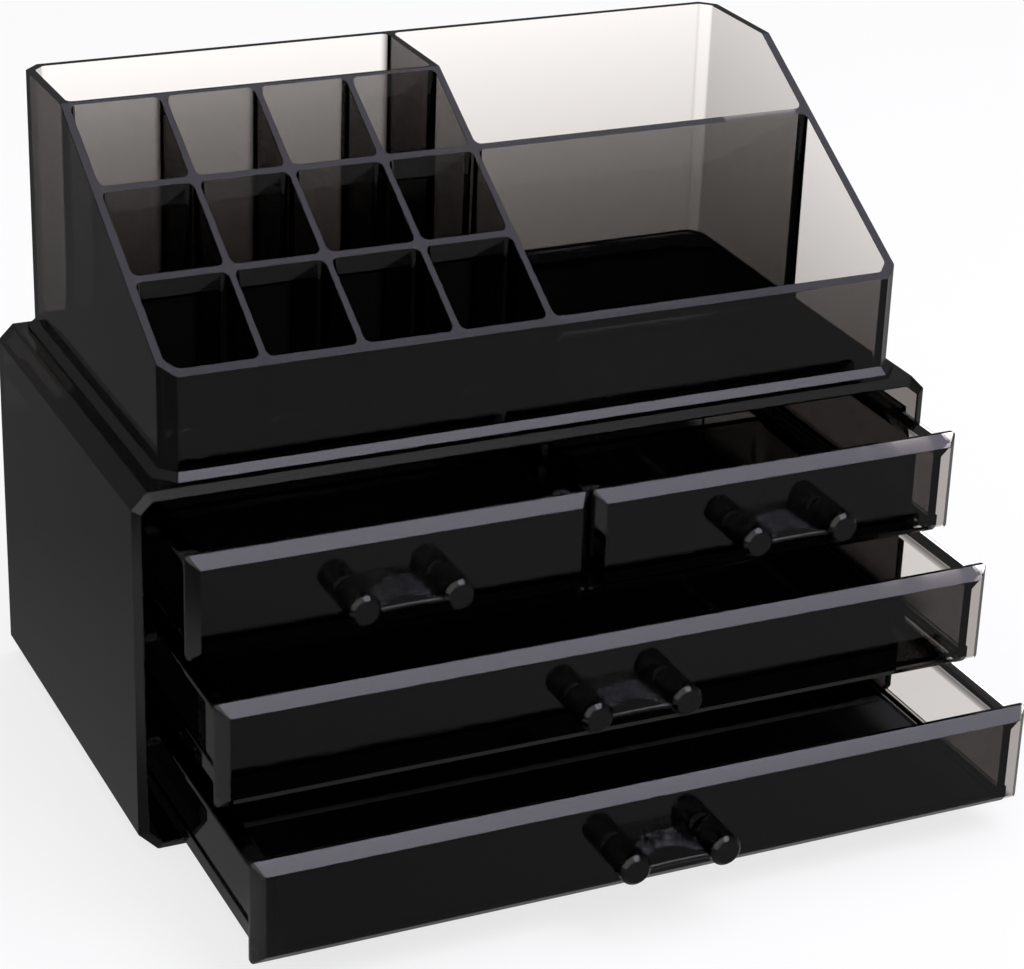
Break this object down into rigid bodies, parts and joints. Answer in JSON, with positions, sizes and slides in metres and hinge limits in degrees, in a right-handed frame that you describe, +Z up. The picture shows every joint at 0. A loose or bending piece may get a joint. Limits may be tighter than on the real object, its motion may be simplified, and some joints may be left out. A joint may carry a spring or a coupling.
{
  "type": "makeup organizer",
  "caption": "Smoky clear plastic organizer: a case with pull-out drawers under a loose open tray divided into compartments.",
  "frame": {"origin": "middle of the case's underside, on the table", "axes": "+X to the right, +Y to the back, +Z up; the drawers open towards -Y"},
  "size_m": [0.238, 0.2148, 0.185],
  "materials": {
    "smoky_plastic": "polished, see-through smoky black",
    "handle_plastic": "polished, nearly opaque smoky black",
    "screw_metal": "dark zinc plate"
  },
  "bodies": {
    "case": {"case_shell": "smoky_plastic", "case_back": "smoky_plastic", "rail_left_bottom": "smoky_plastic", "rail_right_bottom": "smoky_plastic", "rail_left_middle": "smoky_plastic", "rail_right_middle": "smoky_plastic", "rail_left_top": "smoky_plastic", "rail_right_top": "smoky_plastic", "rail_centre": "smoky_plastic"},
    "drawer_bottom": {"drawer_bottom_box": "smoky_plastic", "drawer_bottom_front": "smoky_plastic", "drawer_bottom_handle": "handle_plastic", "drawer_bottom_screws": "screw_metal"},
    "drawer_middle": {"drawer_middle_box": "smoky_plastic", "drawer_middle_front": "smoky_plastic", "drawer_middle_handle": "handle_plastic", "drawer_middle_screws": "screw_metal"},
    "drawer_left": {"drawer_left_box": "smoky_plastic", "drawer_left_front": "smoky_plastic", "drawer_left_handle": "handle_plastic", "drawer_left_screws": "screw_metal"},
    "drawer_right": {"drawer_right_box": "smoky_plastic", "drawer_right_front": "smoky_plastic", "drawer_right_handle": "handle_plastic", "drawer_right_screws": "screw_metal"},
    "tray": {"top_tray": "smoky_plastic"}
  },
  "joints": [
    {"name": "drawer_bottom_slide", "type": "slide", "parent": "case", "child": "drawer_bottom", "axis": [0, -1, 0], "range_m": [-0.0753, 0.0197]},
    {"name": "drawer_middle_slide", "type": "slide", "parent": "case", "child": "drawer_middle", "axis": [0, -1, 0], "range_m": [-0.0497, 0.0453]},
    {"name": "drawer_left_slide", "type": "slide", "parent": "case", "child": "drawer_left", "axis": [0, -1, 0], "range_m": [-0.0282, 0.0668]},
    {"name": "drawer_right_slide", "type": "slide", "parent": "case", "child": "drawer_right", "axis": [0, -1, 0], "range_m": [-0.0282, 0.0668]},
    {"name": "tray_lift", "type": "slide", "parent": "case", "child": "tray", "axis": [0, 0, 1], "range_m": [0, 0.06]}
  ]
}
